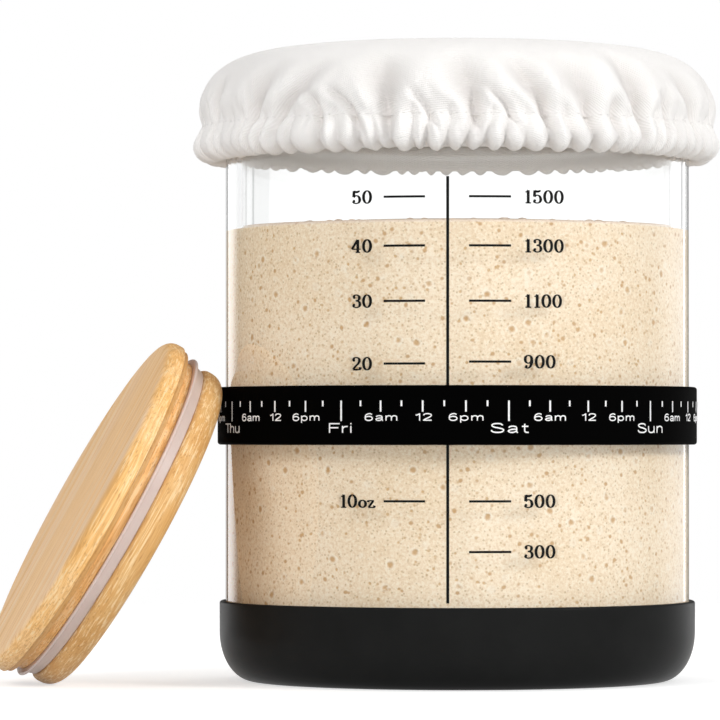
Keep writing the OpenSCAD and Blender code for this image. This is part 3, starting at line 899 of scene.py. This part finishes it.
def lidPlace():
    d = lid
    lean, turn, edge = math.radians(d["lean"]), math.radians(d["turn"]), d["plugRound"]
    flat = d["plugR"] - edge
    reach = flat * math.sin(lean) - edge * math.cos(lean) + edge
    out = d["printR"] + d["printT"] + d["bandGap"] + reach
    up = flat * math.cos(lean) - edge * math.sin(lean) + edge
    place = Matrix.Translation((-out * math.cos(turn), -out * math.sin(turn), up))
    return place @ Euler((0, lean - math.pi / 2, turn)).to_matrix().to_4x4()


def woodFinish(name, face, rim, shift, flatFaceZ, ledge=-1.0):
    tree = startFinish(name)
    origin = lidPlace()
    # the pattern is set in the lid's own directions, with the grain along its leaning diameter
    own = tree.add("ShaderNodeMapping", dict(vector_type="TEXTURE"),
                   {"Vector": tree.place(), "Location": tuple(origin.translation * mm),
                    "Rotation": tuple(origin.to_euler())})
    x, y, z = tree.parts(own)
    wander = tree.noise(own, 16, 3) * 0.004 + tree.noise(own, 150, 2) * 0.0003
    across = y + wander + shift
    stripe = tree.add("ShaderNodeTexWhiteNoise", dict(noise_dimensions="1D"),
                      {"W": tree.calc("FLOOR", across / lid["stripW"])}, "Value")
    broad = tree.noise(tree.joined(x * 8, across * 160, z * 160), 1, 3, 0.55)
    dash = tree.noise(tree.joined(x * 150, across * 2300, z * 2300), 1, 2)
    speck = tree.soften(dash, 0.57, 0.68)
    # the flat outer face is greyer than the rims, a painted reflection of bright light seen at a grazing
    # angle; it also takes the face's own long grain
    flat = tree.soften(z, *flatFaceZ)
    faceFibre = tree.noise(tree.joined(x * 14, across * 1150, 0.0), 1, 2, 0.6)
    rimFibre = tree.noise(tree.joined(x * 60, across * 330, (z + wander * 0.3) * 2300), 1, 2, 0.6)
    fibre = faceFibre * flat + rimFibre * (1 - flat)
    ground = tree.blend(tree.soften(broad, 0.3, 0.7), face, rim)
    # the first mix greys the flat face with painted reflection; the thin ledge below the rim, recessed under
    # it, gets a darker band of painted shade, and comes last
    for share, colour in ((flat * (0.25 + tree.soften(broad, 0.62, 0.34) * 0.6), (0.92, 0.65, 0.425)),
                          (stripe * 0.25, scaled(face, 0.8)),
                          (tree.soften(broad, 0.6, 0.74) * 0.3, (0.5, 0.24, 0.07)),
                          (tree.soften(fibre, 0.5, 0.6) * (0.42 - flat * 0.12), (0.64, 0.3, 0.08)),
                          (tree.soften(fibre, 0.47, 0.37) * (0.6 - flat * 0.25), (1.0, 0.78, 0.47)),
                          (speck * (0.4 - flat * 0.2), (0.42, 0.17, 0.04)),
                          (tree.soften(z, ledge + 0.0001, ledge - 0.0001) * 0.6, (0.52, 0.24, 0.06))):
        ground = tree.blend(share, ground, colour)
    return endFinish(tree, Base_Color=ground, Roughness=0.5 + fibre * 0.16, Specular_IOR_Level=0.4,
                     Coat_Weight=0.1, Coat_Roughness=0.35,
                     Normal=tree.bump(fibre * -0.6 - speck * 0.5, 0.5, 0.0002))


def sealFinish():
    tree = startFinish("milkySilicone")
    haze = tree.noise(tree.place(), 120, 3)
    return endFinish(tree, Base_Color=tree.blend(haze, (0.63, 0.5, 0.455), (0.71, 0.585, 0.535)),
                     Roughness=0.34 + haze * 0.1, Subsurface_Weight=0.25, Subsurface_Scale=1.0,
                     Subsurface_Radius=(0.004, 0.003, 0.003), Normal=tree.bump(haze, 0.1, 0.0002))


def plateOutline(r, low, high, lowRound, highRound, steps=16):
    return ([(0, low)] + corner(r - lowRound, low + lowRound, lowRound, -90, 0, steps)
            + corner(r - highRound, high - highRound, highRound, 0, 90, steps) + [(0, high)])


def makeLid():
    d = lid
    place = lidPlace()
    e, fit, half = d["edge"], d["sealFit"], d["sealLip"] / 2
    stepH = d["plugT"] + d["sealT"]
    topH = stepH + d["stepT"]
    outer = topH + d["topT"]
    ledgeR, ledgeH = d["topR"] - d["ledgeBack"], topH + d["ledgeT"]
    top = ([(0, topH)] + corner(ledgeR - e, topH + e, e, -90, 0, 4) + [(ledgeR, ledgeH)]
           + plateOutline(d["topR"], ledgeH, outer, d["ledgeRound"], d["topRound"])[1:])
    plug = plateOutline(d["plugR"], 0, d["plugT"], d["plugRound"], d["innerRound"])
    step = ([(0, d["plugT"]), (d["hubR"], d["plugT"]), (d["hubR"], stepH)]
            + plateOutline(d["stepR"], stepH, topH, e, e, 4)[1:])
    inner, back = d["hubR"] + d["sealGap"], d["sealR"] - d["sealBack"]
    seal = ([(inner, stepH - fit), (inner, d["plugT"] + fit), (back - d["sealTaper"], d["plugT"] + fit),
             (back, stepH - d["sealLip"])] + corner(d["sealR"] - half, stepH - fit - half, half, -90, 90, 12))
    face = outer * mm - 0.0009, outer * mm - 0.0001
    topWood = woodFinish("topBamboo", d["pale"], d["warm"], 0.0, face, ledgeH * mm)
    hubWood = woodFinish("hubBamboo", d["pale"], d["warm"], 0.021, (1.0, 2.0))
    plugWood = woodFinish("plugBamboo", d["plugPale"], d["plugWarm"], 0.043, (0.0009, 0.0001))
    for name, outline, finish, node in (("lid_top", top, topWood, "lid_top_plate"),
                                        ("lid_hub", step, hubWood, "lid_step"),
                                        ("lid_plug", plug, plugWood, "lid_plug_plate")):
        makePiece(name, *turned(steadied(outline), place=place), finish, "lid", [node], "bamboo")
    points, faces = turned(steadied(seal, True), closed=True, place=place)
    makePiece("lid_gasket", points, faces, sealFinish(), "lid", ["lid_seal"], "seal")


makeLid()
print("lid done")


# floor, sky and lamps

studio = dict(
    floorR=0.75, floorZ=-0.02, fadeR=0.3, shade=0.62, glow=0.6, sky=0.45, aim=(0, 0, 0.09),
    lamps=(("keyLamp", (1.75, -0.95, 0.95), 0.6, 20.5), ("fillLamp", (-1.25, -1.35, 1.3), 1.0, 12.5),
           ("frontLamp", (0, -1.7, 0.075), 0.14, 7.5), ("topLamp", (0.1, 0.1, 1.7), 1.2, 1.9),
           ("backLamp", (0.9, 1.5, 0.8), 1.0, 8.0), ("sideLamp", (-1.3, 1.1, 0.9), 1.0, 6.0)),
    # white strips that glass mirrors at the left and the right: where each step of light comes, and its share
    strips=(((0.74, 0.88, 1.7), (0.94, 0.946, -1.7), (0.958, 0.964, 0.5)),
            ((0.3, 0.7, 1.0), (0.885, 0.895, 1.3), (0.918, 0.926, -2.0), (0.953, 0.96, -0.25))),
    # grey lines in the light that came through glass: direction, half width, share and side
    slits=((0.934, 0.008, 0.6, -1), (0.966, 0.0032, 0.4, -1), (0.9765, 0.0105, 0.16, -1),
           (0.917, 0.011, 0.75, 1), (0.94, 0.022, 0.2, 1)))


def rays(tree):
    return [tree.add("ShaderNodeLightPath", output=f"Is {name} Ray")
            for name in ("Camera", "Glossy", "Transmission")]


def makeFloor():
    s = studio
    tree = startFinish("paleFloor")
    x, y, z = tree.parts(tree.place())
    away = (x * x + y * y) ** 0.5
    camera, shine, through = rays(tree)
    seen = tree.calc("MAXIMUM", tree.calc("MAXIMUM", camera, shine), through)
    paper = tree.add("ShaderNodeBsdfDiffuse", None, {"Color": (s["shade"],) * 3 + (1,)})
    light = tree.add("ShaderNodeEmission", None, {"Color": (1, 1, 1, 1), "Strength": seen * s["glow"]})
    both = tree.add("ShaderNodeAddShader", None, {0: paper, 1: light})
    gone = tree.add("ShaderNodeBsdfTransparent")
    edge = tree.soften(away, s["fadeR"], s["floorR"] * 0.95)
    finish = endFinish(tree, tree.add("ShaderNodeMixShader", None, {0: edge, 1: both, 2: gone}))
    rings = [(r / mm, s["floorZ"]) for r in (s["floorR"], s["fadeR"], 0)]
    addObject("floor", makeMesh("floor", *turned(rings, 64), finish))


def makeSky():
    world = bpy.data.worlds.new("studioSky")
    bpy.context.scene.world = world
    world.use_nodes = True
    world.node_tree.nodes.clear()
    tree = Tree(world.node_tree)
    camera, shine, through = rays(tree)
    x, y, z = tree.parts(tree.add("ShaderNodeTexCoord", output="Generated"))
    # mirrors see a room that is light at the right front and, level with the jar, white strips behind it
    left, right = (sum(tree.soften(y, low, high) * share for low, high, share in rows)
                   for rows in studio["strips"])
    strips = left + tree.soften(x, -0.05, 0.05) * (right - left)
    glow = (0.5 + x * 0.385 - y * 0.32) ** 1.5
    room = 0.04 + glow * 0.8 + strips * tree.soften(tree.calc("ABSOLUTE", z), 0.22, 0.1)
    # light that came through glass is white too, with thin grey lines at each side
    slit = sum(tree.soften(tree.calc("ABSOLUTE", y - middle), half, half * 0.8)
               * tree.soften(x * hand, 0.05, 0.15) * dark for middle, half, dark, hand in studio["slits"])
    lit = shine * room + (1 - shine) * studio["sky"]
    level = camera + (1 - camera) * (through * (1.14 - slit) + (1 - through) * lit)
    back = tree.add("ShaderNodeBackground", None, {"Color": (1, 1, 1, 1), "Strength": level})
    tree.add("ShaderNodeOutputWorld", None, {"Surface": back})


def makeLamps():
    for name, place, size, power in studio["lamps"]:
        data = bpy.data.lights.new(name, "AREA")
        data.shape, data.size, data.energy = "DISK", size, power
        lamp = addObject(name, data)
        lamp.location = place
        lamp.visible_glossy = name in ("keyLamp", "topLamp")
        lamp.visible_transmission = False
        lamp.rotation_euler = aimed(place, studio["aim"])


makeFloor()
makeSky()
makeLamps()
print("stage done")
